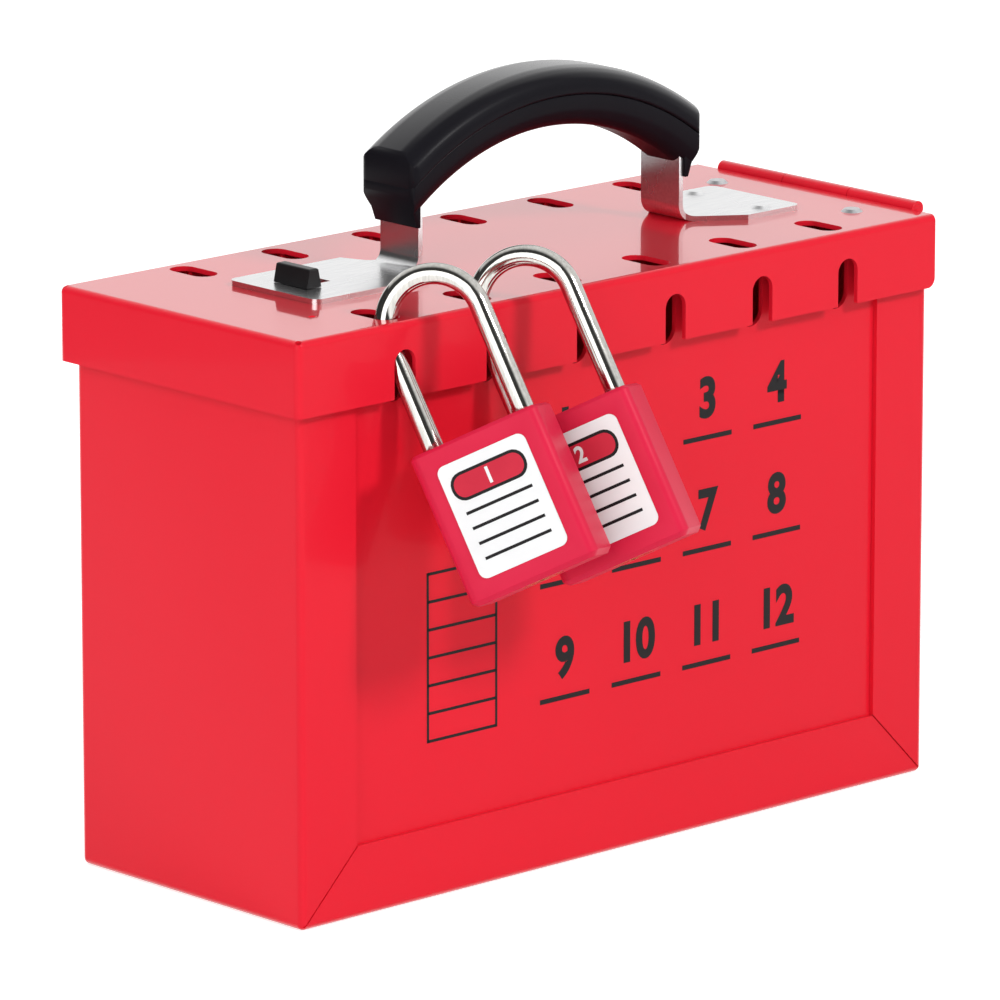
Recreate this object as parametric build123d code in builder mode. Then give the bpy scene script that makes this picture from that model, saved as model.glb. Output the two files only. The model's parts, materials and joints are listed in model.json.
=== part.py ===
from build123d import *
import math
import os

os.makedirs("parts", exist_ok=True)

# Group lockout box: a folded steel case, a lid hinged at the right end, a carrying handle,
# a sliding latch, twelve padlock positions and two padlocks hung in the first two of them.
# X runs along the front, Y to the back and Z up. The origin is on the base, under the middle.

# Case, in millimetres
case_width = 254.0
case_depth = 97.6
lid_top = 174.5
sheet = 1.5
bend = 2.0                # outside radius of every fold
case_flange = 21.5        # width of the folded borders round the front and back panels
panel_gap = 0.8           # edge of a panel to the inside of the case
seam_width = 0.5          # mitre joint of the folded borders
seam_length = case_flange * math.sqrt(2) + 2 * seam_width
seam_depth = 0.8
lid_gap = 0.3             # rim of the case to the underside of the lid
wrap_inside = case_depth / 2 - sheet
rim_top = lid_top - sheet - lid_gap
lid_under = lid_top - sheet

# Lid
lid_overhang = 3.4        # lid beyond the case at the front, back and left
lid_drop = 22.3           # height of the lid's flanges
corner_radius = 3.0       # lower right corners of the flanges
relief_radius = 0.9       # small hole where two folds meet
relief_inset = 1.5
dimple_radius = 1.2
dimple_tip = 0.3          # radius at the bottom of the dimple
dimple_depth = 0.9
dimple_inset_x = 26.0     # dimple from the lid's left edge
dimple_inset_y = 23.0     # dimple from the lid's front edge
lid_depth = case_depth + 2 * lid_overhang
lid_left = -case_width / 2 - lid_overhang
lid_front = -lid_depth / 2
flange_bottom = lid_top - lid_drop

# Padlock positions
lock_count = 6            # along the front, and as many along the back
lock_margin = 37.5        # end of the case to the first and the last position
lock_pitch = (case_width - 2 * lock_margin) / (lock_count - 1)
slot_width = 8.2
slot_length = 17.0        # slot in the top of the lid, from front to back
slot_inset = 4.2          # slot end to the edge of the lid
window_drop = 8.1         # lid top to the top of a flange slot
notch_width = 9.4         # notch in the wall behind it
notch_depth = 22.3        # notch below the rim
slot_y = lid_depth / 2 - slot_inset - slot_length / 2
lock_x = [(i - (lock_count - 1) / 2) * lock_pitch for i in range(lock_count)]

# Hinge
barrel_radius = 2.4
leaf = 1.1                # thickness of a hinge leaf
pin_radius = 1.25
pin_clearance = 0.05
hinge_side_gap = 3.8      # hinge leaf to the panels
knuckle_count = 3
knuckle_gap = 0.25
lid_leaf = 25.0           # width of the lid's leaf
case_leaf = 22.5
hinge_gap = 0.3           # leaf to the part that it swings past
hinge_rivet_ys = (-31.5, 26.5)
rivet_setback = 15.0      # rivets to the edge of the lid's leaf
rivet_drop = 12.5         # lid's underside to the rivets of the case's leaf
hinge_length = 2 * (wrap_inside - sheet - hinge_side_gap)
axis_x = case_width / 2 + barrel_radius
axis_z = lid_under - leaf + barrel_radius
lid_right = axis_x - barrel_radius - hinge_gap
lid_leaf_edge = axis_x - barrel_radius - knuckle_gap
case_leaf_top = axis_z - barrel_radius - hinge_gap
knuckle = hinge_length / knuckle_count
lid_hinge_rivets = [(lid_leaf_edge - rivet_setback, y) for y in hinge_rivet_ys]
case_hinge_rivets = [(y, lid_under - rivet_drop) for y in hinge_rivet_ys]

# Rivets
rivet_radius = 1.6
rivet_head = 3.3
rivet_flat = 2.3          # radius of the head's flat top
rivet_head_height = 0.9
rivet_tail = 2.3          # radius of the set tail
rivet_clearance = 0.05

# Handle strap
handle_x = 9.6            # middle of the handle
leg_inset = 74.1          # end of the case to a leg, as the mean of the two
leg_spacing = case_width - 2 * leg_inset
arch_rise = 16.0          # band from the top of its legs to its crown
strap = 1.6
strap_width = 16.5
strap_bend = 4.5
foot_width = 38.6
left_foot = 50.8          # leg to the end of the foot
left_wide = 44.0          # full width from the end of the foot
left_taper = 4.0
right_foot = 40.0
right_wide = 22.5
right_taper = 15.5
foot_corner = 3.0
foot_rivet_from_end = 12.2
foot_rivet_y = 14.2
foot_top = lid_top + strap
left_leg = handle_x - leg_spacing / 2
right_leg = handle_x + leg_spacing / 2
foot_rivets = [(right_leg + right_foot - foot_rivet_from_end, y) for y in (-foot_rivet_y, foot_rivet_y)]
arch_radius = ((leg_spacing / 2) ** 2 + arch_rise**2) / (2 * arch_rise)

# Handle grip. Its section is drawn as distances above the inner arc and half widths.
grip_top = 54.0           # crown above the lid
grip_overhang = 5.7       # legs to the ends of the grip
grip_end_bottom = 14.0    # lower end of the grip above the lid
grip_thickness = 17.9
grip_seam = 10.0          # seam between the shells
grip_upper_section = (
    (grip_seam, 12.0), (12.5, 11.9), (14.6, 11.2), (16.2, 9.8), (17.3, 7.8), (grip_thickness, 5.0),
)
grip_lower_section = ((0.0, 5.5), (0.8, 7.6), (2.4, 9.3), (5.0, 10.6), (grip_seam, 11.4))
grip_corner = 3.0         # upright corners of the ends
grip_shoulder = 1.5       # from the outer arc's end down to the sloped shoulder
shoulder_slope = 66.0
grip_undercut = 3.7       # slope of the end's lower part
undercut_height = 10.0
lip_width = 18.4         # lip that covers the outside of each leg
strap_seat = 0.1          # band to the upper shell
strap_clearance = 0.3     # band to the lower shell
grip_half_length = leg_spacing / 2 + grip_overhang
seam_radius = arch_radius + strap / 2 + strap_seat
grip_inner_radius = seam_radius - grip_seam
grip_outer_radius = grip_inner_radius + grip_thickness
grip_centre_z = lid_top + grip_top - grip_outer_radius
grip_width = 2 * grip_upper_section[0][1]

# Latch
latch_inset = 43.0        # end of the case to the button at rest
latch_x = -case_width / 2 + latch_inset
latch_y = 0.0
latch_travel = 8.0
button_length = 14.5      # along Y
button_base = 5.6
button_crest = 3.2
button_height = 5.6
button_round = 0.6
neck_x = 4.0
neck_y = 5.0
latch_gap = 0.3
slide_thickness = 1.5
slide_width = 11.0
slide_reach = 18.0        # hook to the button's middle
slide_tail = 15.0         # button's middle to the far end
hook_foot = 8.0
keeper_width = 28.0
keeper_drop = 13.0        # lid underside to the keeper's shelf
keeper_hook = 5.5         # shelf beyond its window
keeper_window_y = 15.0
keeper_flange = 14.0
hook_gap = 0.5            # hook to the underside of the shelf
guide_length = 26.0
guide = 1.2
guide_lip = 5.0
guide_start = 1.0         # hook at the end of its travel to the guide
window_margin = 2.5       # hook to the ends of the keeper's window
latch_rivet_radius = 1.25
latch_rivet_head = 2.2
latch_rivet_head_height = 0.9
latch_rivet_reach = 4.5   # above the slide
neck_slot = neck_x + latch_travel + 2 * latch_gap
neck_slot_x = latch_x + latch_travel / 2

# Padlocks
fitted_positions = (0, 1)   # front positions that hold a padlock
shackle_radius = 3.15
bar_sides = 16            # flats round the bar
shackle_spacing = 29.0
shackle_rise = 32.8       # body to the start of the bow
long_leg = 32.0
short_leg = 8.0
leg_clearance = 0.1
leg_end_gap = 1.0         # leg to the end of its bore
padlock_width = 40.5
padlock_height = 46.5
padlock_thickness = 20.5
padlock_round = 3.0
label_width = 28.0
label_height = 34.5
label_drop = 5.8          # top of the body to the label
label_thickness = 0.4
label_recess = 0.2
label_corner = 2.5
label_gap = 0.05
barrel_outer = 6.4
barrel_depth = 26.0
plug_radius = 4.5
plug_clearance = 0.08
keyway = 1.6
keyway_length = 6.8
keyway_depth = 20.8
# How a padlock hangs: where its body's top stands from its slot, and how it is turned
hang_x = 10.7
hang_out = 19.6           # in front of the lid
hang_down = 30.0          # below the lid's top
hang_heading = -52.0
hang_rise = 26.0
hang_lean = 11.8


def save(part, name):
    part.label = name
    export_step(part, "parts/" + name + ".step")


# Case: one strip folded up at both ends, with mitred borders
with BuildPart() as case_wrap:
    with BuildSketch():
        Rectangle(case_width, case_depth)
    extrude(amount=rim_top)
    fillet(case_wrap.edges().filter_by(Axis.Z), bend)
    fillet(case_wrap.faces().sort_by(Axis.Z)[0].edges(), bend)
    offset(amount=-sheet, openings=case_wrap.faces().sort_by(Axis.Z)[-1])
    with BuildSketch(Plane.XZ):
        with Locations((0, case_flange + rim_top / 2)):
            Rectangle(case_width - 2 * case_flange, rim_top)
    extrude(amount=case_depth, both=True, mode=Mode.SUBTRACT)
    for face_y, inward in ((-case_depth / 2, -seam_depth), (case_depth / 2, seam_depth)):
        with BuildSketch(Plane.XZ.offset(-face_y)):
            for side in (-1, 1):
                with Locations((side * (case_width - case_flange) / 2, case_flange / 2)):
                    Rectangle(seam_length, seam_width, rotation=-45 * side)
        extrude(amount=inward, mode=Mode.SUBTRACT)
    # The right wall is lower where the lid's hinge leaf crosses it
    with BuildSketch(Plane.XY.offset(lid_under - leaf - hinge_gap)):
        with Locations((case_width / 2, 0)):
            Rectangle(6 * sheet, hinge_length + 4 * hinge_gap)
    extrude(amount=leaf + lid_gap + sheet, mode=Mode.SUBTRACT)
    # Holes for the rivets of the case's hinge leaf
    with BuildSketch(Plane.YZ.offset(case_width / 2 - 2 * sheet)):
        with Locations(*case_hinge_rivets):
            Circle(rivet_radius + rivet_clearance)
    extrude(amount=4 * sheet, mode=Mode.SUBTRACT)
save(case_wrap.part, "case_wrap")


# Front and back panels stand behind the folded borders and have the notches for the shackles
def make_panel(side):
    with BuildPart() as panel:
        with BuildSketch(Plane.XZ.offset(side * wrap_inside)):
            with Locations((0, (sheet + panel_gap + rim_top) / 2)):
                Rectangle(case_width - 2 * (sheet + panel_gap), rim_top - sheet - panel_gap)
            for x in lock_x:
                with Locations((x, rim_top)):
                    SlotOverall(2 * notch_depth, notch_width, rotation=90, mode=Mode.SUBTRACT)
        extrude(amount=-side * sheet)
    return panel.part


save(make_panel(1), "front_panel")
save(make_panel(-1), "back_panel")


# Hinge: the lid's leaf has the outer knuckles, the case's leaf the middle one
def knuckle_span(i):
    low = -hinge_length / 2 + i * knuckle
    start = low if i == 0 else low + knuckle_gap / 2
    end = low + knuckle if i == knuckle_count - 1 else low + knuckle - knuckle_gap / 2
    return start, end


with BuildPart() as hinge_leaf_lid:
    with BuildSketch(Plane.XY.offset(lid_under - leaf)):
        with Locations((lid_leaf_edge - lid_leaf / 2, 0)):
            Rectangle(lid_leaf, hinge_length)
    extrude(amount=leaf)
    for i in range(0, knuckle_count, 2):
        start, end = knuckle_span(i)
        with BuildSketch(Plane.XZ.offset(-start)):
            with Locations((axis_x - barrel_radius, axis_z - barrel_radius + leaf / 2)):
                Rectangle(2 * barrel_radius, leaf)
            with Locations((axis_x, axis_z)):
                Circle(barrel_radius)
                Circle(pin_radius + pin_clearance, mode=Mode.SUBTRACT)
        extrude(amount=start - end)
    with BuildSketch(Plane.XY.offset(lid_under - 2 * leaf)):
        with Locations(*lid_hinge_rivets):
            Circle(rivet_radius + rivet_clearance)
    extrude(amount=3 * leaf, mode=Mode.SUBTRACT)
save(hinge_leaf_lid.part, "hinge_leaf_lid")

with BuildPart() as hinge_leaf_case:
    with BuildSketch(Plane.YZ.offset(case_width / 2)):
        with Locations((0, case_leaf_top - case_leaf / 2)):
            Rectangle(hinge_length, case_leaf)
    extrude(amount=leaf)
    for i in range(1, knuckle_count, 2):
        start, end = knuckle_span(i)
        with BuildSketch(Plane.XZ.offset(-start)):
            with Locations((axis_x - barrel_radius + leaf / 2, axis_z - barrel_radius)):
                Rectangle(leaf, 2 * barrel_radius)
            with Locations((axis_x, axis_z)):
                Circle(barrel_radius)
                Circle(pin_radius + pin_clearance, mode=Mode.SUBTRACT)
        extrude(amount=start - end)
    with BuildSketch(Plane.YZ.offset(case_width / 2 - leaf)):
        with Locations(*case_hinge_rivets):
            Circle(rivet_radius + rivet_clearance)
    extrude(amount=3 * leaf, mode=Mode.SUBTRACT)
save(hinge_leaf_case.part, "hinge_leaf_case")

with BuildPart() as hinge_pin:
    with BuildSketch(Plane.XZ.offset(hinge_length / 2)):
        with Locations((axis_x, axis_z)):
            Circle(pin_radius)
    extrude(amount=-hinge_length)
save(hinge_pin.part, "hinge_pin")


# A rivet turned about its own axis: flat head on the seat, shank through, set tail below
def make_rivets(seats, grip_length):
    with BuildPart() as rivets:
        for seat in seats:
            with BuildSketch(Plane(origin=seat.origin, x_dir=seat.x_dir, z_dir=-seat.y_dir)):
                with BuildLine():
                    Polyline(
                        (0, rivet_head_height),
                        (rivet_flat, rivet_head_height),
                        (rivet_head, 0),
                        (rivet_radius, 0),
                        (rivet_radius, -grip_length),
                        (rivet_tail, -grip_length),
                        (rivet_tail, -grip_length - rivet_head_height),
                        (0, -grip_length - rivet_head_height),
                        close=True,
                    )
                make_face()
            revolve(axis=Axis(seat.origin, seat.z_dir))
    return rivets.part


lid_seats = [Plane(origin=(x, y, lid_top)) for x, y in lid_hinge_rivets]
save(make_rivets(lid_seats, sheet + leaf), "hinge_rivets_lid")

leaf_face = case_width / 2 + leaf
case_seats = [
    Plane(origin=(leaf_face, y, z), x_dir=(0, 1, 0), z_dir=(1, 0, 0)) for y, z in case_hinge_rivets
]
save(make_rivets(case_seats, sheet + leaf), "hinge_rivets_case")

# Lid: a shallow tray turned over, with no flange at the hinge end
with BuildPart() as lid_shell:
    with BuildSketch(Plane.XY.offset(flange_bottom)):
        with Locations(((lid_left + lid_right) / 2, 0)):
            Rectangle(lid_right - lid_left, lid_depth)
    extrude(amount=lid_drop)
    fillet(lid_shell.edges().filter_by(Axis.Z).group_by(Axis.X)[0], bend)
    fillet(lid_shell.faces().sort_by(Axis.Z)[-1].edges().sort_by(Axis.X)[:-1], bend)
    right_end = lid_shell.faces().sort_by(Axis.X)[-1]
    underside = lid_shell.faces().sort_by(Axis.Z)[0]
    offset(amount=-sheet, openings=[right_end, underside])
    lower_corners = lid_shell.edges().filter_by(Axis.Y).group_by(Axis.Z)[0].group_by(Axis.X)[-1]
    fillet(lower_corners, corner_radius)
    with BuildSketch(Plane.XY.offset(lid_under - sheet)):
        for y in (-slot_y, slot_y):
            with Locations(*[(x, y) for x in lock_x]):
                SlotOverall(slot_length, slot_width, rotation=90)
        with Locations((neck_slot_x, latch_y)):
            Rectangle(neck_slot, neck_y + 2 * latch_gap)
        with Locations(*lid_hinge_rivets, *foot_rivets):
            Circle(rivet_radius + rivet_clearance)
    extrude(amount=3 * sheet, mode=Mode.SUBTRACT)
    window_top = lid_top - window_drop
    with BuildSketch(Plane.XZ):
        with Locations(*[(x, flange_bottom) for x in lock_x]):
            SlotOverall(2 * (window_top - flange_bottom), slot_width, rotation=90)
    extrude(amount=lid_depth, both=True, mode=Mode.SUBTRACT)
    with BuildSketch(Plane.XY.offset(lid_top - 2 * sheet)):
        with Locations(
            (lid_left + relief_inset, lid_front + relief_inset),
            (lid_left + relief_inset, -lid_front - relief_inset),
        ):
            Circle(relief_radius)
    extrude(amount=3 * sheet, mode=Mode.SUBTRACT)
    with Locations((lid_left + dimple_inset_x, lid_front + dimple_inset_y, lid_top)):
        below = (Align.CENTER, Align.CENTER, Align.MAX)
        Cone(dimple_tip, dimple_radius, dimple_depth, align=below, mode=Mode.SUBTRACT)
save(lid_shell.part, "lid_shell")


# Handle strap: the side view of the bent band, cut to the outline that it has from above
def strap_centreline():
    with BuildLine() as line:
        level = lid_top + strap / 2
        arch_z = grip_centre_z + math.sqrt(arch_radius**2 - (leg_spacing / 2) ** 2)
        left_end = left_leg - left_foot
        right_end = right_leg + right_foot
        left = FilletPolyline((left_end, level), (left_leg, level), (left_leg, arch_z), radius=strap_bend)
        right = FilletPolyline((right_leg, arch_z), (right_leg, level), (right_end, level), radius=strap_bend)
        ThreePointArc(left @ 1, (handle_x, grip_centre_z + arch_radius), right @ 0)
    return line.edges()


def strap_outline():
    half_foot = foot_width / 2
    half_strap = strap_width / 2
    left_end = left_leg - left_foot
    right_end = right_leg + right_foot
    front_edge = [
        (left_end, -half_foot),
        (left_end + left_wide, -half_foot),
        (left_end + left_wide + left_taper, -half_strap),
        (right_end - right_wide - right_taper, -half_strap),
        (right_end - right_wide, -half_foot),
        (right_end, -half_foot),
    ]
    return front_edge + [(x, -y) for x, y in reversed(front_edge)]


with BuildPart() as handle_strap:
    with BuildSketch(Plane.XZ):
        trace(strap_centreline(), line_width=strap)
    extrude(amount=foot_width, both=True)
    with BuildSketch(Plane.XY.offset(lid_top)):
        Polygon(*strap_outline(), align=None)
        fillet(vertices().group_by(Axis.X)[0] + vertices().group_by(Axis.X)[-1], foot_corner)
    extrude(amount=grip_top, mode=Mode.INTERSECT)
    with BuildSketch(Plane.XY.offset(lid_top)):
        with Locations(*foot_rivets):
            Circle(rivet_radius + rivet_clearance)
        with Locations((neck_slot_x, latch_y)):
            Rectangle(neck_slot, neck_y + 2 * latch_gap)
    extrude(amount=2 * strap, mode=Mode.SUBTRACT)
save(handle_strap.part, "handle_strap")

foot_seats = [Plane(origin=(x, y, foot_top)) for x, y in foot_rivets]
save(make_rivets(foot_seats, sheet + strap), "handle_rivets")


# Grip: two moulded shells that close on the strap along an arched seam. Each is a section
# turned about the middle of the arch and cut to the grip's ends. The lower one goes on down
# over the outside of each leg.
def make_grip_shell(section, with_lips):
    with BuildPart() as shell:
        with BuildSketch(Plane(origin=(handle_x, 0, grip_centre_z), x_dir=(-1, 0, 0), z_dir=(0, 0, 1))):
            one_side = [(grip_inner_radius + height, half_width) for height, half_width in section]
            Polygon(*one_side, *[(radius, -half_width) for radius, half_width in reversed(one_side)], align=None)
        revolve(axis=Axis((handle_x, 0, grip_centre_z), (0, 1, 0)), revolution_arc=180)
        end_bottom = lid_top + grip_end_bottom
        if with_lips:
            lip_start = leg_spacing / 2
            with BuildSketch(Plane.XY.offset(end_bottom)):
                for side in (-1, 1):
                    with Locations((handle_x + side * (lip_start + grip_half_length) / 2, 0)):
                        Rectangle(grip_half_length - lip_start, lip_width)
            extrude(amount=undercut_height)
        arc_end = grip_centre_z + math.sqrt(grip_outer_radius**2 - grip_half_length**2)
        slope_start = arc_end - grip_shoulder
        slope_end = lid_top + grip_top + grip_shoulder
        slope_run = (slope_end - slope_start) / math.tan(math.radians(shoulder_slope))
        with BuildSketch(Plane.XZ):
            Polygon(
                (handle_x - grip_half_length, end_bottom + undercut_height),
                (handle_x - grip_half_length + grip_undercut, end_bottom),
                (handle_x + grip_half_length - grip_undercut, end_bottom),
                (handle_x + grip_half_length, end_bottom + undercut_height),
                (handle_x + grip_half_length, slope_start),
                (handle_x + grip_half_length - slope_run, slope_end),
                (handle_x - grip_half_length + slope_run, slope_end),
                (handle_x - grip_half_length, slope_start),
                align=None,
            )
        extrude(amount=grip_width, both=True, mode=Mode.INTERSECT)
        with BuildSketch(Plane.XY.offset(lid_top)):
            with Locations((handle_x, 0)):
                RectangleRounded(2 * grip_half_length, grip_width, grip_corner)
        extrude(amount=grip_top + grip_shoulder, mode=Mode.INTERSECT)
    return shell.part


save(make_grip_shell(grip_upper_section, False), "grip_upper_shell")

with BuildPart() as grip_lower_shell:
    add(make_grip_shell(grip_lower_section, True))
    with BuildSketch(Plane.XZ):
        trace(strap_centreline(), line_width=strap + 2 * strap_clearance)
    extrude(amount=strap_width / 2 + strap_clearance, both=True, mode=Mode.SUBTRACT)
save(grip_lower_shell.part, "grip_lower_shell")

# Latch: a button on the left foot drives a hooked slide under the lid
button_bottom = foot_top + latch_gap / 2
slide_top = lid_under - latch_gap
slide_bottom = slide_top - slide_thickness
with BuildPart() as latch_button:
    with BuildSketch(Plane.XZ.offset(-latch_y)):
        with Locations((latch_x, button_bottom)):
            Trapezoid(
                button_base,
                button_height,
                math.degrees(math.atan(2 * button_height / (button_base - button_crest))),
                align=(Align.CENTER, Align.MIN),
            )
    extrude(amount=button_length / 2, both=True)
    fillet(latch_button.faces().sort_by(Axis.Z)[-1].edges(), button_round)
    with BuildSketch(Plane.XY.offset(slide_top)):
        with Locations((latch_x, latch_y)):
            Rectangle(neck_x, neck_y)
    extrude(amount=button_bottom - slide_top)
    with BuildSketch(Plane.XY.offset(slide_top)):
        with Locations((latch_x, latch_y)):
            Circle(latch_rivet_radius + rivet_clearance)
    extrude(amount=latch_rivet_reach + latch_gap, mode=Mode.SUBTRACT)
save(latch_button.part, "latch_button")

hook_x = latch_x - slide_reach
shelf_top = lid_under - keeper_drop
hook_top = shelf_top - sheet - hook_gap
with BuildPart() as latch_slide:
    with BuildSketch(Plane.XZ.offset(-latch_y)):
        with BuildLine():
            Polyline(
                (latch_x + slide_tail, slide_bottom),
                (latch_x + slide_tail, slide_top),
                (hook_x, slide_top),
                (hook_x, hook_top - slide_thickness),
                (hook_x + hook_foot, hook_top - slide_thickness),
                (hook_x + hook_foot, hook_top),
                (hook_x + slide_thickness, hook_top),
                (hook_x + slide_thickness, slide_bottom),
                close=True,
            )
        make_face()
        fillet(vertices().group_by(Axis.X)[0], slide_thickness)
    extrude(amount=slide_width / 2, both=True)
    with BuildSketch(Plane.XY.offset(slide_bottom)):
        with Locations((latch_x, latch_y)):
            Circle(latch_rivet_radius + rivet_clearance)
    extrude(amount=slide_thickness, mode=Mode.SUBTRACT)
save(latch_slide.part, "latch_slide")

with BuildPart() as latch_rivet:
    with BuildSketch(Plane.XY.offset(slide_bottom)):
        with Locations((latch_x, latch_y)):
            Circle(latch_rivet_head)
    extrude(amount=-latch_rivet_head_height)
    with BuildSketch(Plane.XY.offset(slide_bottom)):
        with Locations((latch_x, latch_y)):
            Circle(latch_rivet_radius)
    extrude(amount=slide_thickness + latch_rivet_reach)
save(latch_rivet.part, "latch_rivet")

guide_left = hook_x + slide_thickness + latch_travel + guide_start
with BuildPart() as latch_guide:
    half_bore = slide_width / 2 + latch_gap
    floor_top = slide_bottom - latch_gap
    head_way = latch_rivet_head + 2 * latch_gap
    with BuildSketch(Plane.YZ.offset(guide_left)):
        with Locations((latch_y, (lid_under + floor_top - guide) / 2)):
            Rectangle(2 * (half_bore + guide), lid_under - floor_top + guide)
        with Locations((latch_y, lid_under - guide / 2)):
            Rectangle(2 * (half_bore + guide + guide_lip), guide)
        with Locations((latch_y, (lid_under + floor_top) / 2)):
            Rectangle(2 * half_bore, lid_under - floor_top, mode=Mode.SUBTRACT)
    extrude(amount=guide_length)
    with BuildSketch(Plane.XY.offset(floor_top - 2 * guide)):
        with Locations((neck_slot_x, latch_y)):
            SlotOverall(latch_travel + 2 * head_way, 2 * head_way)
    extrude(amount=3 * guide, mode=Mode.SUBTRACT)
save(latch_guide.part, "latch_guide")

wall_in = -case_width / 2 + sheet
window_left = hook_x - window_margin
window_right = hook_x + hook_foot + window_margin
with BuildPart() as latch_keeper:
    with BuildSketch(Plane.XZ.offset(-latch_y)):
        with BuildLine():
            Polyline(
                (wall_in, shelf_top - keeper_flange),
                (wall_in, shelf_top),
                (window_right + keeper_hook, shelf_top),
                (window_right + keeper_hook, shelf_top - sheet),
                (wall_in + sheet, shelf_top - sheet),
                (wall_in + sheet, shelf_top - keeper_flange),
                close=True,
            )
        make_face()
        fillet(vertices().group_by(Axis.X)[0].sort_by(Axis.Z)[-1], sheet)
    extrude(amount=keeper_width / 2, both=True)
    with BuildSketch(Plane.XY.offset(shelf_top - 2 * sheet)):
        with Locations(((window_left + window_right) / 2, latch_y)):
            Rectangle(window_right - window_left, keeper_window_y)
    extrude(amount=3 * sheet, mode=Mode.SUBTRACT)
save(latch_keeper.part, "latch_keeper")


# Padlocks: each hangs from its position by its shackle, with its body in front of the case
def hang_directions():
    heading = math.radians(hang_heading)
    rise = math.radians(hang_rise)
    lean = math.radians(hang_lean)
    across = Vector(math.cos(rise) * math.cos(heading), math.cos(rise) * math.sin(heading), math.sin(rise))
    upright = Vector(-math.sin(rise) * math.cos(heading), -math.sin(rise) * math.sin(heading), math.cos(rise))
    level_face = across.cross(upright)
    face = level_face * math.cos(lean) + upright * math.sin(lean)
    return across, face, face.cross(across)


def make_shackle(front):
    with BuildPart() as shackle:
        with BuildLine(front):
            half = shackle_spacing / 2
            short = Line((-half, -short_leg), (-half, shackle_rise))
            ThreePointArc((-half, shackle_rise), (0, shackle_rise + half), (half, shackle_rise))
            Line((half, shackle_rise), (half, -long_leg))
        with BuildSketch(Plane(origin=short @ 0, z_dir=short % 0)):
            RegularPolygon(shackle_radius, bar_sides)
        sweep()
    return shackle.part


def make_padlock_body(front, top):
    with BuildPart() as body:
        with BuildSketch(front.offset(-padlock_thickness / 2)):
            with Locations((0, -padlock_height / 2)):
                Rectangle(padlock_width, padlock_height)
        extrude(amount=padlock_thickness)
        upright = Axis(front.origin, front.y_dir)
        fillet(body.edges().filter_by(upright), padlock_round)
        chamfer(body.faces().sort_by(upright)[-1].edges(), padlock_round / 3)
        chamfer(body.faces().sort_by(upright)[0].edges(), padlock_round / 2)
        with BuildSketch(top):
            with Locations((-shackle_spacing / 2, 0)):
                Circle(shackle_radius + leg_clearance)
        extrude(amount=-short_leg - leg_end_gap, mode=Mode.SUBTRACT)
        with BuildSketch(top):
            with Locations((shackle_spacing / 2, 0)):
                Circle(shackle_radius + leg_clearance)
        extrude(amount=-long_leg - leg_end_gap, mode=Mode.SUBTRACT)
        with BuildSketch(top.offset(-padlock_height)):
            Circle(barrel_outer)
        extrude(amount=barrel_depth, mode=Mode.SUBTRACT)
        with BuildSketch(front.offset(padlock_thickness / 2)):
            with Locations((0, -label_drop - label_height / 2)):
                RectangleRounded(label_width, label_height, label_corner)
        extrude(amount=-label_recess, mode=Mode.SUBTRACT)
    return body.part


def make_label(front):
    with BuildPart() as label:
        with BuildSketch(front.offset(padlock_thickness / 2 - label_recess)):
            with Locations((0, -label_drop - label_height / 2)):
                RectangleRounded(label_width - 2 * label_gap, label_height - 2 * label_gap, label_corner)
        extrude(amount=label_thickness)
    return label.part


def make_barrel(top):
    with BuildPart() as barrel:
        with BuildSketch(top.offset(-padlock_height)):
            Circle(barrel_outer)
            Circle(plug_radius + plug_clearance, mode=Mode.SUBTRACT)
        extrude(amount=barrel_depth)
    return barrel.part


def make_plug(top):
    with BuildPart() as plug:
        with BuildSketch(top.offset(-padlock_height)):
            Circle(plug_radius)
        extrude(amount=barrel_depth - plug_clearance)
        with BuildSketch(top.offset(-padlock_height)):
            Rectangle(keyway, keyway_length)
        extrude(amount=keyway_depth, mode=Mode.SUBTRACT)
    return plug.part


across, face, upward = hang_directions()
for number, position in enumerate(fitted_positions, start=1):
    hang = Vector(lock_x[position] + hang_x, lid_front - hang_out, lid_top - hang_down)
    front = Plane(origin=hang, x_dir=across, z_dir=face)
    top = Plane(origin=hang, x_dir=across, z_dir=upward)
    save(make_shackle(front), f"shackle_{number}")
    save(make_padlock_body(front, top), f"padlock_body_{number}")
    save(make_label(front), f"padlock_label_{number}")
    save(make_barrel(top), f"lock_barrel_{number}")
    save(make_plug(top), f"key_plug_{number}")
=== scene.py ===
import bpy
import json
import math
from mathutils import Matrix, Vector


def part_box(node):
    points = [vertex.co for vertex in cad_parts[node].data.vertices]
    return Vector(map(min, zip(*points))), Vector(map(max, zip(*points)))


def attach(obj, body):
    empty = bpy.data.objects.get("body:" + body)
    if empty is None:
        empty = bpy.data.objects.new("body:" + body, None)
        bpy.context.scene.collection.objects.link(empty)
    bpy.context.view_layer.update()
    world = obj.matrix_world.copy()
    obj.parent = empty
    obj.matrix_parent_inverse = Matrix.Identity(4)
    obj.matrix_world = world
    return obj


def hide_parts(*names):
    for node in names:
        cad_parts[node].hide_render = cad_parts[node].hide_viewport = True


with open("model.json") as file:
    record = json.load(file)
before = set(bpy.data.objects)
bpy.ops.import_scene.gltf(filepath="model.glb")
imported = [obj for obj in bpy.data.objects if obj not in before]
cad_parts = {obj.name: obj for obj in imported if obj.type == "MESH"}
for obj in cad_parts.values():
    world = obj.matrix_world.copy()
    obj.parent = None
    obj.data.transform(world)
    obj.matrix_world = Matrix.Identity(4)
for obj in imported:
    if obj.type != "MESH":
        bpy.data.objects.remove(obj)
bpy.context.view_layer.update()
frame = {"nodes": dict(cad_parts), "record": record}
cadNodes = frame["nodes"]
mm = 0.001
print("stage: frame loaded,", len(cadNodes), "nodes")


def deselectAll():
    if bpy.context.object and bpy.context.object.mode != "OBJECT":
        bpy.ops.object.mode_set(mode="OBJECT")
    bpy.ops.object.select_all(action="DESELECT")


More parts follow.
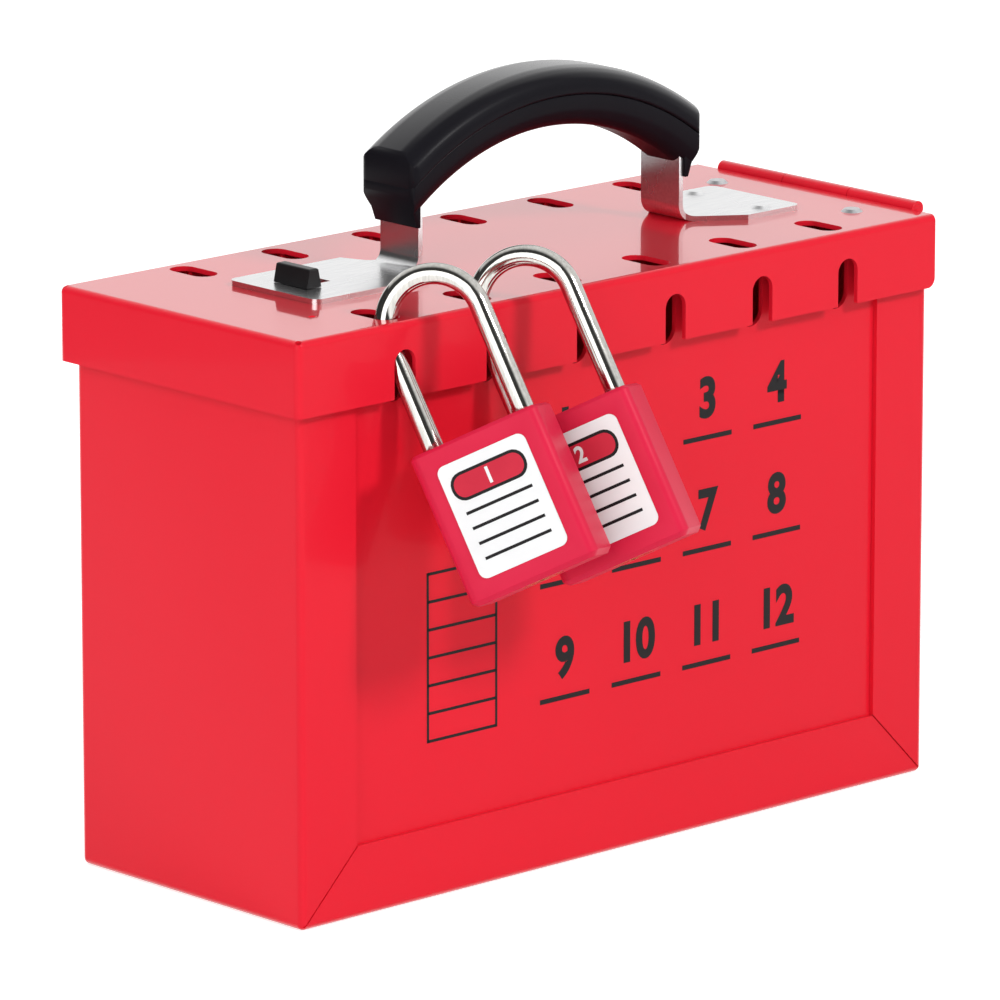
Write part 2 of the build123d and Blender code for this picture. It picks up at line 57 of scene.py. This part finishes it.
def makeActive(piece):
    deselectAll()
    piece.select_set(True)
    bpy.context.view_layer.objects.active = piece


def editAll(piece):
    makeActive(piece)
    bpy.ops.object.mode_set(mode="EDIT")
    bpy.ops.mesh.select_all(action="SELECT")


def paint(piece, material):
    piece.data.materials.clear()
    piece.data.materials.append(material)


def addPlane(name, size, place=(0, 0, 0)):
    deselectAll()
    bpy.ops.mesh.primitive_plane_add(size=size, location=place)
    piece = bpy.context.object
    piece.name = name
    return piece


# Nodes that the finishes and the studio share
def newGroup(name, inputs, outputs):
    group = bpy.data.node_groups.new(name, "ShaderNodeTree")
    for socketName, kind, value in inputs:
        socket = group.interface.new_socket(name=socketName, in_out="INPUT", socket_type=kind)
        if value is not None:
            socket.default_value = value
    for socketName, kind in outputs:
        group.interface.new_socket(name=socketName, in_out="OUTPUT", socket_type=kind)
    return group, group.nodes.new("NodeGroupInput"), group.nodes.new("NodeGroupOutput")


def noiseInto(tree, place, scale, detail, roughness):
    noise = tree.nodes.new("ShaderNodeTexNoise")
    noise.inputs["Detail"].default_value = detail
    noise.inputs["Roughness"].default_value = roughness
    tree.links.new(place, noise.inputs["Vector"])
    tree.links.new(scale, noise.inputs["Scale"])
    return noise.outputs["Fac"]


def remap(tree, value, fromLow, fromHigh, toLow, toHigh, curve="LINEAR"):
    node = tree.nodes.new("ShaderNodeMapRange")
    node.interpolation_type = curve
    tree.links.new(value, node.inputs["Value"])
    node.inputs["From Min"].default_value = fromLow
    node.inputs["From Max"].default_value = fromHigh
    node.inputs["To Min"].default_value = toLow
    node.inputs["To Max"].default_value = toHigh
    return node.outputs["Result"]


def joinValues(tree, operation, first, second):
    node = tree.nodes.new("ShaderNodeMath")
    node.operation = operation
    tree.links.new(first, node.inputs[0])
    tree.links.new(second, node.inputs[1])
    return node.outputs["Value"]


floatKind = "NodeSocketFloat"
vectorKind = "NodeSocketVector"

# Fine ripple of a sprayed or moulded surface, with slow patches of shade
grainLook = {
    "grainSize": 900.0,
    "grainDetail": 2.0,
    "patchSize": 9.0,
    "patchDetail": 3.0,
    "patchRange": (0.15, 0.85),
    "roughness": 0.5,
}
grainGroup, grainIn, grainOut = newGroup(
    "surfaceGrain",
    [
        ("Coordinates", vectorKind, None),
        ("Grain Size", floatKind, grainLook["grainSize"]),
        ("Patch Size", floatKind, grainLook["patchSize"]),
    ],
    [("Height", floatKind), ("Patch", floatKind)],
)


def fillGrain(look):
    place = grainIn.outputs["Coordinates"]
    grain = noiseInto(grainGroup, place, grainIn.outputs["Grain Size"], look["grainDetail"], look["roughness"])
    patch = noiseInto(grainGroup, place, grainIn.outputs["Patch Size"], look["patchDetail"], look["roughness"])
    patch = remap(grainGroup, patch, *look["patchRange"], 0.0, 1.0, "SMOOTHSTEP")
    grainGroup.links.new(grain, grainOut.inputs["Height"])
    grainGroup.links.new(patch, grainOut.inputs["Patch"])


fillGrain(grainLook)

# Long fine lines of rolled or drawn metal, along one direction
lineLook = {
    "along": (20.0, 1.0, 1.0),
    "lineSize": 60.0,
    "detail": 4.0,
    "roughness": 0.6,
    "shadeRange": (0.35, 0.65),
}
lineGroup, lineIn, lineOut = newGroup(
    "drawnLines",
    [
        ("Coordinates", vectorKind, None),
        ("Along", vectorKind, lineLook["along"]),
        ("Line Size", floatKind, lineLook["lineSize"]),
    ],
    [("Height", floatKind), ("Shade", floatKind)],
)


def fillLines(look):
    stretch = lineGroup.nodes.new("ShaderNodeVectorMath")
    stretch.operation = "MULTIPLY"
    lineGroup.links.new(lineIn.outputs["Coordinates"], stretch.inputs[0])
    lineGroup.links.new(lineIn.outputs["Along"], stretch.inputs[1])
    place = stretch.outputs["Vector"]
    lines = noiseInto(lineGroup, place, lineIn.outputs["Line Size"], look["detail"], look["roughness"])
    shade = remap(lineGroup, lines, *look["shadeRange"], 0.0, 1.0)
    lineGroup.links.new(lines, lineOut.inputs["Height"])
    lineGroup.links.new(shade, lineOut.inputs["Shade"])


fillLines(lineLook)


def startMaterial(name):
    material = bpy.data.materials.new(name)
    material.use_nodes = True
    return material, material.node_tree, material.node_tree.nodes["Principled BSDF"]


def placeGroup(tree, group, coordinates, settings):
    node = tree.nodes.new("ShaderNodeGroup")
    node.node_tree = group
    tree.links.new(coordinates.outputs["Object"], node.inputs["Coordinates"])
    for socketName, value in settings.items():
        node.inputs[socketName].default_value = value
    return node


def addColour(tree, shader, mask, look):
    mix = tree.nodes.new("ShaderNodeMix")
    mix.data_type = "RGBA"
    tree.links.new(mask, mix.inputs["Factor"])
    mix.inputs["A"].default_value = (*look["colour"], 1)
    mix.inputs["B"].default_value = (*look["shade"], 1)
    tree.links.new(mix.outputs["Result"], shader.inputs["Base Color"])


def addRoughness(tree, shader, patch, look):
    tree.links.new(remap(tree, patch, 0.0, 1.0, *look["roughness"]), shader.inputs["Roughness"])


def addBump(tree, shader, height, look):
    bump = tree.nodes.new("ShaderNodeBump")
    bump.inputs["Strength"].default_value = look["bump"]
    bump.inputs["Distance"].default_value = look["depth"] * mm
    tree.links.new(height, bump.inputs["Height"])
    tree.links.new(bump.outputs["Normal"], shader.inputs["Normal"])


# Gloss grows towards the edges, and less of it shows on an underside that no hand polishes
def addGloss(tree, shader, coordinates, look):
    facing = tree.nodes.new("ShaderNodeLayerWeight").outputs["Facing"]
    gloss = remap(tree, facing, *look["glossRange"], *look["coat"])
    if "rubbed" in look:
        upright = tree.nodes.new("ShaderNodeSeparateXYZ")
        tree.links.new(coordinates.outputs["Normal"], upright.inputs["Vector"])
        polished = remap(tree, upright.outputs["Z"], *look["rubbed"], 0.0, 1.0)
        gloss = joinValues(tree, "MULTIPLY", gloss, polished)
    tree.links.new(gloss, shader.inputs["Coat Weight"])
    shader.inputs["Coat Roughness"].default_value = look["coatRoughness"]
    shader.inputs["Coat IOR"].default_value = look["coatIor"]


# Paint and moulded plastics: colour, ripple and gloss
def makeCoated(name, look):
    material, tree, shader = startMaterial(name)
    coordinates = tree.nodes.new("ShaderNodeTexCoord")
    sizes = {"Grain Size": look["grain"], "Patch Size": look["patch"]}
    grain = placeGroup(tree, grainGroup, coordinates, sizes)
    addColour(tree, shader, grain.outputs["Patch"], look)
    addRoughness(tree, shader, grain.outputs["Patch"], look)
    addGloss(tree, shader, coordinates, look)
    shader.inputs["IOR"].default_value = look["ior"]
    addBump(tree, shader, grain.outputs["Height"], look)
    return material


# Metals: tint, drawn lines and polish
def makeMetal(name, look):
    material, tree, shader = startMaterial(name)
    coordinates = tree.nodes.new("ShaderNodeTexCoord")
    lines = placeGroup(tree, lineGroup, coordinates, {"Along": look["along"], "Line Size": look["lines"]})
    grain = placeGroup(tree, grainGroup, coordinates, {"Patch Size": look["patch"]})
    addColour(tree, shader, lines.outputs["Shade"], look)
    addRoughness(tree, shader, grain.outputs["Patch"], look)
    shader.inputs["Metallic"].default_value = 1.0
    addBump(tree, shader, lines.outputs["Height"], look)
    return material


# Grain, patch and line sizes count ripples to the metre, and bump depths are in mm
coatedLooks = {
    "red_paint": {
        "colour": (0.785, 0.0125, 0.031), "shade": (0.745, 0.0108, 0.027), "grain": 700.0, "patch": 5.0,
        "roughness": (0.294, 0.310), "coat": (0.03, 1.0), "glossRange": (0.36, 0.74),
        "coatRoughness": 0.045, "ior": 1.2, "coatIor": 1.85, "bump": 0.08, "depth": 0.05,
    },
    "black_grip": {
        "colour": (0.0060, 0.0055, 0.0080), "shade": (0.0085, 0.0080, 0.0110), "grain": 1600.0, "patch": 30.0,
        "roughness": (0.34, 0.42), "coat": (0.02, 1.0), "glossRange": (0.32, 0.72), "rubbed": (-0.1, 0.6),
        "coatRoughness": 0.24, "ior": 1.14, "coatIor": 1.75, "bump": 0.20, "depth": 0.05,
    },
    "black_button": {
        "colour": (0.009, 0.008, 0.009), "shade": (0.014, 0.013, 0.014), "grain": 1800.0, "patch": 60.0,
        "roughness": (0.36, 0.46), "coat": (0.02, 0.30), "glossRange": (0.30, 0.90),
        "coatRoughness": 0.3, "ior": 1.3, "coatIor": 1.5, "bump": 0.20, "depth": 0.05,
    },
    "padlock_red": {
        "colour": (0.70, 0.016, 0.062), "shade": (0.65, 0.013, 0.052), "grain": 1500.0, "patch": 40.0,
        "roughness": (0.42, 0.48), "coat": (0.02, 0.25), "glossRange": (0.40, 0.90),
        "coatRoughness": 0.30, "ior": 1.22, "coatIor": 1.5, "bump": 0.15, "depth": 0.05,
    },
    "label_white": {
        "colour": (0.86, 0.87, 0.87), "shade": (0.81, 0.82, 0.83), "grain": 900.0, "patch": 60.0,
        "roughness": (0.28, 0.36), "coat": (0.1, 0.8), "glossRange": (0.30, 0.90),
        "coatRoughness": 0.12, "ior": 1.35, "coatIor": 1.5, "bump": 0.05, "depth": 0.03,
    },
}
metalLooks = {
    "bright_steel": {
        "colour": (0.86, 0.86, 0.86), "shade": (0.76, 0.76, 0.77), "along": (1.0, 14.0, 14.0), "lines": 90.0,
        "patch": 30.0, "roughness": (0.24, 0.30), "bump": 0.03, "depth": 0.02,
    },
    "zinc_steel": {
        "colour": (0.60, 0.61, 0.62), "shade": (0.48, 0.49, 0.51), "along": (1.0, 6.0, 6.0), "lines": 140.0,
        "patch": 60.0, "roughness": (0.26, 0.40), "bump": 0.12, "depth": 0.04,
    },
    "rivet_alloy": {
        "colour": (0.62, 0.62, 0.63), "shade": (0.50, 0.50, 0.52), "along": (6.0, 6.0, 1.0), "lines": 220.0,
        "patch": 90.0, "roughness": (0.24, 0.36), "bump": 0.15, "depth": 0.05,
    },
    "shackle_steel": {
        "colour": (0.64, 0.625, 0.59), "shade": (0.50, 0.49, 0.46), "along": (6.0, 6.0, 1.0), "lines": 160.0,
        "patch": 70.0, "roughness": (0.06, 0.13), "bump": 0.05, "depth": 0.03,
    },
    "lock_brass": {
        "colour": (0.72, 0.55, 0.27), "shade": (0.60, 0.45, 0.21), "along": (8.0, 8.0, 1.0), "lines": 200.0,
        "patch": 80.0, "roughness": (0.18, 0.30), "bump": 0.10, "depth": 0.03,
    },
}
inkLook = {
    "colour": (0.007, 0.006, 0.007), "shade": (0.012, 0.010, 0.011), "grain": 2500.0, "patch": 120.0,
    "roughness": (0.42, 0.52), "coat": (0.02, 0.25), "glossRange": (0.30, 0.90),
    "coatRoughness": 0.2, "ior": 1.25, "coatIor": 1.5, "bump": 0.08, "depth": 0.02,
}
bandLook = dict(inkLook, colour=(0.62, 0.02, 0.05), shade=(0.56, 0.018, 0.045))

finishes = {slotName: makeCoated(slotName, look) for slotName, look in coatedLooks.items()}
finishes.update({slotName: makeMetal(slotName, look) for slotName, look in metalLooks.items()})
ink = makeCoated("printInk", inkLook)
bandInk = makeCoated("bandInk", bandLook)

for part in frame["record"]["subparts"]:
    paint(cadNodes[part["node"]], finishes[part["material_slot"]])
print("stage: finishes on all nodes")


# A printed figure or bar: made flat, turned to face out, then given its place
def placePrint(piece, name, ground, material, body):
    makeActive(piece)
    if piece.type != "MESH":
        bpy.ops.object.convert(target="MESH")
    piece = bpy.context.object
    piece.name = name
    piece.data.name = name
    piece.data.transform(ground @ piece.matrix_world)
    piece.matrix_world = Matrix.Identity(4)
    paint(piece, material)
    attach(piece, body)


printSteps = {"curve": 6, "corner": 5}


def addNumber(text, centre, height, width, boldness):
    deselectAll()
    bpy.ops.object.text_add(location=(0, 0, 0))
    number = bpy.context.object
    number.data.body = text
    number.data.align_x = "CENTER"
    number.data.align_y = "CENTER"
    number.data.size = height
    number.data.offset = boldness
    number.data.resolution_u = printSteps["curve"]
    number.location = (*centre, 0)
    number.scale = (width, 1, 1)
    bpy.context.view_layer.update()
    return number


def addBar(centre, width, height, corner=0):
    bar = addPlane("bar", 1, (*centre, 0))
    bar.scale = (width, height, 1)
    bpy.ops.object.transform_apply(location=False, rotation=False, scale=True)
    if corner:
        editAll(bar)
        bpy.ops.mesh.bevel(offset=corner, segments=printSteps["corner"], affect="VERTICES")
        bpy.ops.object.mode_set(mode="OBJECT")
    bpy.context.view_layer.update()
    return bar


# Front of the case: plain numbers in three rows, a ruled panel and thin rules
frontPrint = {
    "numberHeight": 16.5 * mm,
    "numberWidth": 0.92,
    "boldness": 0.65 * mm,
    "rows": [
        (131.0 * mm, ("1", "2", "3", "4")),
        (97.0 * mm, ("5", "6", "7", "8")),
        (62.0 * mm, ("9", "10", "11", "12")),
    ],
    "columns": [-22.0 * mm, 7.0 * mm, 36.0 * mm, 65.0 * mm],
    "ruleDrop": 11.5 * mm,
    "ruleSize": (20.0 * mm, 1.5 * mm),
    "formCentre": (-63.0 * mm, 72.0 * mm),
    "formSize": (27.0 * mm, 50.0 * mm),
    "formLine": 0.9 * mm,
    "formRows": 6,
    "lift": 0.06 * mm,
}


def printFront(look):
    low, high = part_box("front_panel")
    ground = Matrix.Translation((0, low.y - look["lift"], 0)) @ Matrix.Rotation(math.radians(90), 4, "X")

    def place(piece, name):
        placePrint(piece, name, ground, ink, "case")

    for z, words in look["rows"]:
        for x, word in zip(look["columns"], words):
            number = addNumber(word, (x, z), look["numberHeight"], look["numberWidth"], look["boldness"])
            place(number, f"front_number_{word}")
            place(addBar((x, z - look["ruleDrop"]), *look["ruleSize"]), f"front_rule_{word}")
    x, z = look["formCentre"]
    width, height = look["formSize"]
    line = look["formLine"]
    for index, side in enumerate((-1, 1)):
        place(addBar((x + side * width / 2, z), line, height + line), f"form_side_{index}")
    for index in range(look["formRows"] + 1):
        rowHeight = z - height / 2 + index * height / look["formRows"]
        place(addBar((x, rowHeight), width, line), f"form_row_{index}")


printFront(frontPrint)
print("stage: front print")

# Padlock labels: a dark band, a plain number and ruled lines, turned as the padlocks hang
hang = {"heading": -52.0, "rise": 26.0, "lean": 11.8}
labelPrint = {
    "bandCentre": (0.0, 9.6 * mm),
    "bandSize": (23.5 * mm, 8.4 * mm),
    "bandEdge": 0.9 * mm,
    "bandRound": 2.2,
    "numberCentre": (0.0, 9.5 * mm),
    "numberHeight": 6.6 * mm,
    "numberWidth": 0.9,
    "boldness": 0.2 * mm,
    "lineHeights": [2.0 * mm, -2.6 * mm, -7.2 * mm, -11.8 * mm],
    "lineSize": (21.0 * mm, 0.9 * mm),
    "plate": 0.2 * mm,
    "lift": 0.05 * mm,
}


def hangTurn(angles):
    heading, rise, lean = (math.radians(angles[key]) for key in ("heading", "rise", "lean"))
    along, up = math.cos(rise), math.sin(rise)
    across = Vector((along * math.cos(heading), along * math.sin(heading), up))
    upright = Vector((-up * math.cos(heading), -up * math.sin(heading), along))
    face = across.cross(upright) * math.cos(lean) + upright * math.sin(lean)
    return Matrix((across, face.cross(across), face)).transposed().to_4x4(), face


def printLabel(number, look):
    turn, face = hangTurn(hang)
    low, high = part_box(f"padlock_label_{number}")

    def place(piece, name, layer, material, slotName):
        lift = look["plate"] + layer * look["lift"]
        ground = Matrix.Translation((low + high) / 2 + face * lift) @ turn
        placePrint(piece, name, ground, material, f"padlock_{number}")

    width, height = look["bandSize"]
    border = addBar(look["bandCentre"], width, height, height / look["bandRound"])
    place(border, f"label_band_border_{number}", 1, ink, "black_grip")
    width, height = width - 2 * look["bandEdge"], height - 2 * look["bandEdge"]
    band = addBar(look["bandCentre"], width, height, height / look["bandRound"])
    place(band, f"label_band_{number}", 2, bandInk, "padlock_red")
    figure = addNumber(
        str(number), look["numberCentre"], look["numberHeight"], look["numberWidth"], look["boldness"]
    )
    place(figure, f"label_number_{number}", 3, finishes["label_white"], "label_white")
    for index, lineHeight in enumerate(look["lineHeights"]):
        rule = addBar((0.0, lineHeight), *look["lineSize"])
        place(rule, f"label_rule_{number}_{index}", 1, ink, "black_grip")


for lockNumber in (1, 2):
    printLabel(lockNumber, labelPrint)
print("stage: padlock labels")

# Padlock cases and shackles again with softly rounded edges: joined copies of the drawn bodies
caseEdges = {"slot": "padlock_red", "width": 0.9 * mm, "segments": 3, "edgeAngle": 35.0, "smoothAngle": 40.0}
barEdges = {"slot": "shackle_steel", "width": 0.35 * mm, "segments": 2, "edgeAngle": 15.0, "smoothAngle": 35.0}
softPieces = {
    "padlock_body_1": dict(caseEdges, name="padlock_case_1", body="padlock_1"),
    "padlock_body_2": dict(caseEdges, name="padlock_case_2", body="padlock_2"),
    "shackle_1": dict(barEdges, name="shackle_bar_1", body="shackle_1"),
    "shackle_2": dict(barEdges, name="shackle_bar_2", body="shackle_2"),
}
joining = {"mergeWithin": 0.002 * mm, "flatWithin": 0.5}


def copyNode(nodeName, pieceName):
    source = cadNodes[nodeName]
    piece = source.copy()
    piece.data = source.data.copy()
    piece.name = pieceName
    for key in [key for key in piece.keys() if key.startswith("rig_")]:
        del piece[key]
    piece.parent = None
    piece.matrix_world = Matrix.Identity(4)
    bpy.context.scene.collection.objects.link(piece)
    editAll(piece)
    bpy.ops.mesh.remove_doubles(threshold=joining["mergeWithin"])
    bpy.ops.mesh.dissolve_limited(angle_limit=math.radians(joining["flatWithin"]))
    bpy.ops.object.mode_set(mode="OBJECT")
    return piece


def softenEdges(piece, look):
    bevel = piece.modifiers.new("softEdges", "BEVEL")
    bevel.width = look["width"]
    bevel.segments = look["segments"]
    bevel.limit_method = "ANGLE"
    bevel.angle_limit = math.radians(look["edgeAngle"])
    makeActive(piece)
    bpy.ops.object.modifier_apply(modifier=bevel.name)
    bpy.ops.object.shade_smooth_by_angle(angle=math.radians(look["smoothAngle"]))


for nodeName, look in softPieces.items():
    piece = copyNode(nodeName, look["name"])
    softenEdges(piece, look)
    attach(piece, look["body"])
    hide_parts(nodeName)
print("stage: softened pieces")

# Grip: each shell as a section turned along the arch, trimmed to the ends. The numbers in the
# outlines are mm: sections from the inner arc, the end outline and lips from middle and crown.
gripLook = {
    "innerRadius": 86.35 * mm,
    "thickness": 17.9 * mm,
    "sweep": 40.0,
    "steps": 96,
    "pointRound": 0.7 * mm,
    "pointSteps": 3,
    "mergeWithin": 0.001 * mm,
    "halfWidth": 12.02 * mm,
    "cornerRound": 3.0 * mm,
    "cornerSteps": 8,
    "toolDepth": 40.0 * mm,
    "seam": {"width": 0.2 * mm, "segments": 2, "edgeAngle": 45.0, "smoothAngle": 36.0},
    "endOutline": [(54.9, -40.0), (58.6, -30.0), (58.6, -19.7), (50.0, 0.5)],
    "lip": {"start": 53.7, "end": 58.6, "bottom": -40.0, "top": -28.2, "halfWidth": 9.2},
    "shells": {
        "grip_upper_shell": {
            "name": "grip_upper_moulding", "lips": False,
            "section": [(10.0, 12.0), (12.5, 11.9), (14.6, 11.2), (16.2, 9.8), (17.3, 7.8), (17.9, 5.0)],
        },
        "grip_lower_shell": {
            "name": "grip_lower_moulding", "lips": True,
            "section": [(0.0, 5.5), (0.8, 7.6), (2.4, 9.3), (5.0, 10.6), (10.0, 11.4)],
        },
    },
}


# A flat outline drawn point by point from a single vertex, then pulled out to a depth
def drawOutline(name, corners, pull):
    piece = addPlane(name, 1 * mm)
    editAll(piece)
    bpy.ops.mesh.merge(type="CENTER")
    bpy.ops.transform.translate(value=corners[0])
    for before, after in zip(corners, corners[1:]):
        step = Vector(after) - Vector(before)
        bpy.ops.mesh.extrude_region_move(TRANSFORM_OT_translate={"value": step})
    bpy.ops.mesh.select_all(action="SELECT")
    bpy.ops.mesh.edge_face_add()
    if pull:
        bpy.ops.mesh.select_all(action="SELECT")
        bpy.ops.mesh.extrude_region_move(TRANSFORM_OT_translate={"value": pull})
        bpy.ops.mesh.select_all(action="SELECT")
        bpy.ops.mesh.normals_make_consistent(inside=False)
    bpy.ops.object.mode_set(mode="OBJECT")
    return piece


def combine(piece, tool, operation):
    makeActive(piece)
    change = piece.modifiers.new(operation.lower(), "BOOLEAN")
    change.operation = operation
    change.solver = "EXACT"
    change.object = tool
    bpy.ops.object.modifier_apply(modifier=change.name)
    bpy.data.objects.remove(tool, do_unlink=True)


def sectionCorners(shell, look, centre):
    start = math.radians(look["sweep"])
    corners = []
    for side in (1, -1):
        for height, halfWidth in shell["section"][::side]:
            radius = look["innerRadius"] + height * mm
            x, z = centre.x - radius * math.sin(start), centre.z + radius * math.cos(start)
            corners.append((x, side * halfWidth * mm, z))
    return corners


def turnSection(piece, look, centre):
    editAll(piece)
    bpy.ops.mesh.bevel(offset=look["pointRound"], segments=look["pointSteps"], affect="VERTICES")
    bpy.ops.mesh.select_all(action="SELECT")
    turn = -math.radians(2 * look["sweep"])
    bpy.ops.mesh.spin(steps=look["steps"], angle=turn, center=centre, axis=(0, 1, 0))
    bpy.ops.mesh.select_all(action="SELECT")
    bpy.ops.mesh.remove_doubles(threshold=look["mergeWithin"])
    bpy.ops.mesh.normals_make_consistent(inside=False)
    bpy.ops.object.mode_set(mode="OBJECT")


def addLips(piece, middle, crown, lip):
    for side in (-1, 1):
        near, far = (middle + side * lip[key] * mm for key in ("start", "end"))
        bottom, top = (crown + lip[key] * mm for key in ("bottom", "top"))
        y = -lip["halfWidth"] * mm
        corners = [(near, y, bottom), (far, y, bottom), (far, y, top), (near, y, top)]
        block = drawOutline("lipBlock", corners, (0, 2 * lip["halfWidth"] * mm, 0))
        combine(piece, block, "UNION")


# The grip's outline seen from above: a rectangle with round corners
def planOutline(middle, bottom, look):
    halfLength = max(x for x, z in look["endOutline"]) * mm
    halfWidth, corner = look["halfWidth"], look["cornerRound"]
    points = []
    for xSide, ySide, start in ((1, 1, 0), (-1, 1, 90), (-1, -1, 180), (1, -1, 270)):
        for step in range(look["cornerSteps"] + 1):
            angle = math.radians(start + 90 * step / look["cornerSteps"])
            x = xSide * (halfLength - corner) + corner * math.cos(angle)
            y = ySide * (halfWidth - corner) + corner * math.sin(angle)
            points.append((middle + x, y, bottom))
    return points


def trimEnds(piece, middle, crown, look):
    depth = look["toolDepth"]
    right = [(middle + x * mm, -depth / 2, crown + z * mm) for x, z in look["endOutline"]]
    left = [(2 * middle - x, y, z) for x, y, z in reversed(right)]
    combine(piece, drawOutline("endOutline", right + left, (0, depth, 0)), "INTERSECT")
    plan = planOutline(middle, crown - 2 * depth, look)
    combine(piece, drawOutline("planOutline", plan, (0, 0, 3 * depth)), "INTERSECT")


def makeGripShell(nodeName, shell, look):
    low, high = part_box("grip_upper_shell")
    middle, crown = (low.x + high.x) / 2, high.z
    centre = Vector((middle, 0, crown - (look["innerRadius"] + look["thickness"])))
    piece = drawOutline(shell["name"], sectionCorners(shell, look, centre), None)
    turnSection(piece, look, centre)
    if shell["lips"]:
        addLips(piece, middle, crown, look["lip"])
    trimEnds(piece, middle, crown, look)
    softenEdges(piece, look["seam"])
    paint(piece, finishes["black_grip"])
    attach(piece, "lid")
    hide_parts(nodeName)


for nodeName, shell in gripLook["shells"].items():
    makeGripShell(nodeName, shell, gripLook)
print("stage: grip")

# Floor: pale paper that the camera and mirrors see lifted to white
floorLook = {"size": 12.0, "colour": (0.86, 0.86, 0.86), "roughness": 0.9, "specular": 0.1, "lift": 0.60}


def seenDirectly(tree):
    path = tree.nodes.new("ShaderNodeLightPath")
    mirrored = joinValues(tree, "MAXIMUM", path.outputs["Is Glossy Ray"], path.outputs["Is Transmission Ray"])
    return joinValues(tree, "MAXIMUM", path.outputs["Is Camera Ray"], mirrored)


def makePaper(name, look):
    material, tree, shader = startMaterial(name)
    shader.inputs["Base Color"].default_value = (*look["colour"], 1)
    shader.inputs["Roughness"].default_value = look["roughness"]
    return material, tree, shader


def makeFloor(look):
    floor = addPlane("floor", look["size"])
    material, tree, shader = makePaper("floorPaper", look)
    shader.inputs["Specular IOR Level"].default_value = look["specular"]
    shader.inputs["Emission Color"].default_value = (1, 1, 1, 1)
    lift = remap(tree, seenDirectly(tree), 0.0, 1.0, 0.0, look["lift"])
    tree.links.new(lift, shader.inputs["Emission Strength"])
    paint(floor, material)


makeFloor(floorLook)

# A dark card that only reflections see, as a photographer stands one beside bright metal
cardLook = {
    "place": (-0.56, 0.56), "size": (1.3, 0.55), "turn": 45.0,
    "colour": (0.03, 0.03, 0.03), "roughness": 0.9,
}


def makeCard(look):
    width, height = look["size"]
    card = addPlane("darkCard", 1)
    card.scale = (width, height, 1)
    card.rotation_euler = (math.radians(90), 0, math.radians(look["turn"]))
    card.location = (*look["place"], height / 2)
    card.visible_camera = False
    card.visible_diffuse = False
    card.visible_transmission = False
    card.visible_shadow = False
    paint(card, makePaper("cardCloth", look)[0])


makeCard(cardLook)

# World: even light, a white background, and one side that mirrors see darker
worldLook = {"light": 0.42, "darkSide": (-0.95, -0.25, 0.10), "darkRange": (-0.05, 0.45), "darkLevel": 0.06}


def pickValue(tree, factor, usual, special):
    mix = tree.nodes.new("ShaderNodeMix")
    tree.links.new(factor, mix.inputs["Factor"])
    mix.inputs["A"].default_value = usual
    tree.links.new(special, mix.inputs["B"])
    return mix.outputs["Result"]


def makeWorld(look):
    world = bpy.data.worlds.new("studioWorld")
    bpy.context.scene.world = world
    world.use_nodes = True
    tree = world.node_tree
    background = tree.nodes["Background"]
    background.inputs["Color"].default_value = (1, 1, 1, 1)
    towards = tree.nodes.new("ShaderNodeVectorMath")
    towards.operation = "DOT_PRODUCT"
    tree.links.new(tree.nodes.new("ShaderNodeTexCoord").outputs["Generated"], towards.inputs[0])
    towards.inputs[1].default_value = look["darkSide"]
    mirrored = remap(tree, towards.outputs["Value"], *look["darkRange"], 1.0, look["darkLevel"])
    path = tree.nodes.new("ShaderNodeLightPath")
    seen = pickValue(tree, path.outputs["Is Glossy Ray"], 1.0, mirrored)
    strength = pickValue(tree, seenDirectly(tree), look["light"], seen)
    tree.links.new(strength, background.inputs["Strength"])


makeWorld(worldLook)

lampLooks = {
    "keyLight": {"place": (0.55, -1.75, 1.45), "size": 0.36, "power": 22.5, "mirrored": True},
    "fillLight": {"place": (-1.9, -0.8, 0.9), "size": 1.8, "power": 23.5, "mirrored": True},
    "backLight": {"place": (-0.5, 2.0, 1.1), "size": 1.6, "power": 18.0, "mirrored": False},
}
lampAim = (0.0, 0.0, 0.1)


def addLamp(name, look):
    deselectAll()
    bpy.ops.object.light_add(type="AREA", location=look["place"])
    lamp = bpy.context.object
    lamp.name = name
    lamp.data.size = look["size"]
    lamp.data.energy = look["power"]
    lamp.rotation_euler = (Vector(lampAim) - Vector(look["place"])).to_track_quat("-Z", "Y").to_euler()
    lamp.visible_glossy = look["mirrored"]


for name, look in lampLooks.items():
    addLamp(name, look)

# Camera: the photograph's angle and frame, aimed a little off the middle of the object
view = {
    "azimuth": -42.97,
    "elevation": 13.794,
    "distance": 2635.16 * mm,
    "lens": 318.3,
    "sensor": 36.0,
    "reach": 50.0,
    "middle": (0.0, 0.0, 90.0 * mm),
    "right": -2.852 * mm,
    "up": 7.616 * mm,
}


def makeCamera(look):
    azimuth, elevation = math.radians(look["azimuth"]), math.radians(look["elevation"])
    forward = Vector((
        -math.sin(azimuth) * math.cos(elevation),
        math.cos(azimuth) * math.cos(elevation),
        -math.sin(elevation),
    ))
    right = forward.cross(Vector((0, 0, 1))).normalized()
    up = right.cross(forward)
    target = Vector(look["middle"]) + right * look["right"] + up * look["up"]
    deselectAll()
    bpy.ops.object.camera_add(location=target - forward * look["distance"])
    camera = bpy.context.object
    camera.rotation_euler = forward.to_track_quat("-Z", "Y").to_euler()
    camera.data.lens = look["lens"]
    camera.data.sensor_width = look["sensor"]
    camera.data.clip_end = look["reach"]
    bpy.context.scene.camera = camera


makeCamera(view)
bpy.context.scene.view_settings.view_transform = "Standard"
print("stage: floor, light and camera")
